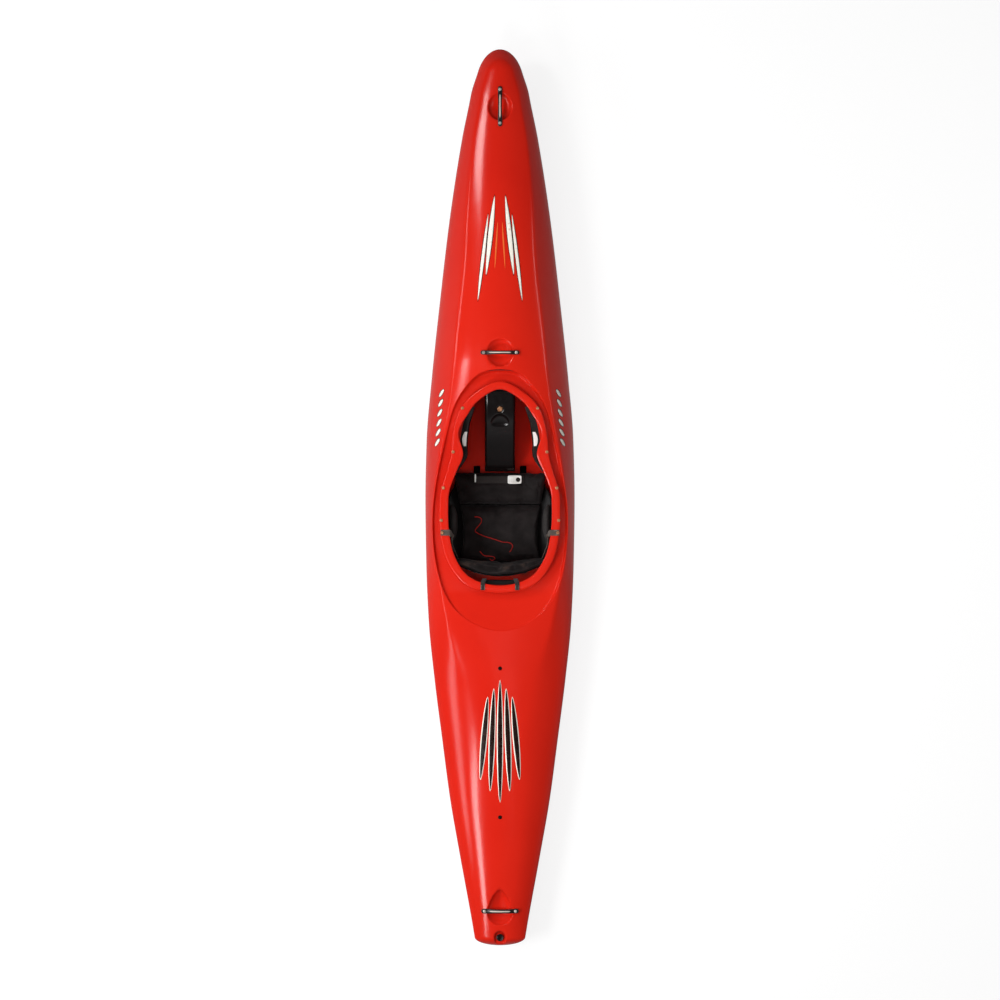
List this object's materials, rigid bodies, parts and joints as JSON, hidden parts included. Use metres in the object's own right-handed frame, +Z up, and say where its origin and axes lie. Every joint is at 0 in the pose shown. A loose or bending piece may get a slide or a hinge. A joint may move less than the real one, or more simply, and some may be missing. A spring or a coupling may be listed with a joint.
{
  "type": "whitewater kayak",
  "caption": "Long red river kayak: hollow moulded shell with a keyhole cockpit, padded seat, backband, thigh braces, footbrace, grab handles and drain plug.",
  "frame": {"origin": "on the ground under the middle of the boat, at the bottom centre of its bounding box", "axes": "+X to starboard, +Y to the bow, +Z up"},
  "size_m": [0.61, 3.655, 0.3889],
  "materials": {
    "red_shell": "rotomoulded polyethylene, glossy with a faint orange peel",
    "black_moulding": "moulded nylon, fine satin grain",
    "black_foam": "closed-cell foam, matt",
    "black_cloth": "stretch cloth over foam, matt",
    "grey_foam": "shaped closed-cell foam, matt",
    "webbing": "woven polyester webbing",
    "pale_plastic": "moulded acetal, satin",
    "brass_bolt": "plated bolt head, worn",
    "dark_steel": "blackened stainless steel",
    "aluminium": "anodised, satin",
    "rubber_seal": "moulded rubber",
    "red_cord": "braided cord, 3.6 mm"
  },
  "bodies": {
    "root": {"hull_fore": "red_shell", "hull_middle": "red_shell", "hull_rear": "red_shell", "deck_fore": "red_shell", "deck_middle": "red_shell", "deck_rear": "red_shell", "cockpit_rim": "red_shell", "front_pillar": "black_foam", "pillar_step": "black_moulding", "step_bolt": "brass_bolt", "rear_pillar": "black_foam", "pillar_screw_front": "dark_steel", "pillar_screw_rear": "dark_steel", "bow_grab_handle": "black_moulding", "bow_handle_screw_front": "dark_steel", "bow_handle_screw_rear": "dark_steel", "fore_grab_handle": "black_moulding", "fore_handle_screw_right": "dark_steel", "fore_handle_screw_left": "dark_steel", "stern_grab_handle": "black_moulding", "stern_handle_screw_right": "dark_steel", "stern_handle_screw_left": "dark_steel", "seat_runner_left": "aluminium", "seat_runner_right": "aluminium", "footbrace_rail_left": "aluminium", "footbrace_rail_right": "aluminium", "side_strap_left": "webbing", "side_strap_right": "webbing", "rear_strap_left": "webbing", "rear_strap_right": "webbing", "brace_bolt_front_left": "brass_bolt", "brace_bolt_rear_left": "brass_bolt", "seat_bolt_front_left": "brass_bolt", "seat_bolt_rear_left": "brass_bolt", "side_strap_bolt_left": "brass_bolt", "brace_bolt_front_right": "brass_bolt", "brace_bolt_rear_right": "brass_bolt", "seat_bolt_front_right": "brass_bolt", "seat_bolt_rear_right": "brass_bolt", "side_strap_bolt_right": "brass_bolt"},
    "seat": {"seat_pan": "black_moulding", "seat_pad": "black_cloth", "hip_pad_left": "grey_foam", "hip_pad_right": "grey_foam", "red_cord_front": "red_cord", "red_cord_rear": "red_cord"},
    "leg_lifter": {"leg_lifter": "black_cloth", "lifter_strap": "webbing", "strap_buckle": "pale_plastic", "strap_pull_tab": "pale_plastic"},
    "backband": {"backband_pad": "black_cloth", "backband_shell": "black_moulding"},
    "thigh_brace_left": {"thigh_brace_left": "black_moulding", "brace_patch_left": "pale_plastic"},
    "thigh_brace_right": {"thigh_brace_right": "black_moulding", "brace_patch_right": "pale_plastic"},
    "footbrace": {"footbrace_plate": "aluminium", "footbrace_pad": "black_foam"},
    "drain_gasket": {"drain_gasket": "rubber_seal"},
    "drain_plug": {"drain_plug": "black_moulding"}
  },
  "joints": [
    {"name": "seat_slide", "type": "slide", "parent": "root", "child": "seat", "axis": [0, 1, 0], "range_m": [-0.045, 0]},
    {"name": "leg_lifter_tilt", "type": "hinge", "parent": "seat", "child": "leg_lifter", "pos_m": [0, -0.026, 0.0539], "axis": [1, 0, 0], "range_deg": [0, 12]},
    {"name": "backband_tilt", "type": "hinge", "parent": "root", "child": "backband", "pos_m": [0, -0.2475, 0.1907], "axis": [1, 0, 0], "range_deg": [-8, 8]},
    {"name": "thigh_brace_left_slide", "type": "slide", "parent": "root", "child": "thigh_brace_left", "axis": [0, 0.9836, 0.1802], "range_m": [-0.018, 0.018]},
    {"name": "thigh_brace_right_slide", "type": "slide", "parent": "root", "child": "thigh_brace_right", "axis": [0, 0.9836, 0.1802], "range_m": [-0.018, 0.018]},
    {"name": "footbrace_slide", "type": "slide", "parent": "root", "child": "footbrace", "axis": [0, 1, 0], "range_m": [-0.08, 0.08]},
    {"name": "drain_plug_lift", "type": "slide", "parent": "root", "child": "drain_gasket", "axis": [0, 0, 1], "range_m": [0, 0.01]},
    {"name": "drain_plug_turn", "type": "hinge", "parent": "drain_gasket", "child": "drain_plug", "pos_m": [0, -1.793, 0.19], "axis": [0, 0, 1], "range_deg": [0, 1440]}
  ],
  "couplings": [
    {"joint": "drain_plug_lift", "follows": "drain_plug_turn", "m_per_rad": 0.00039789}
  ]
}
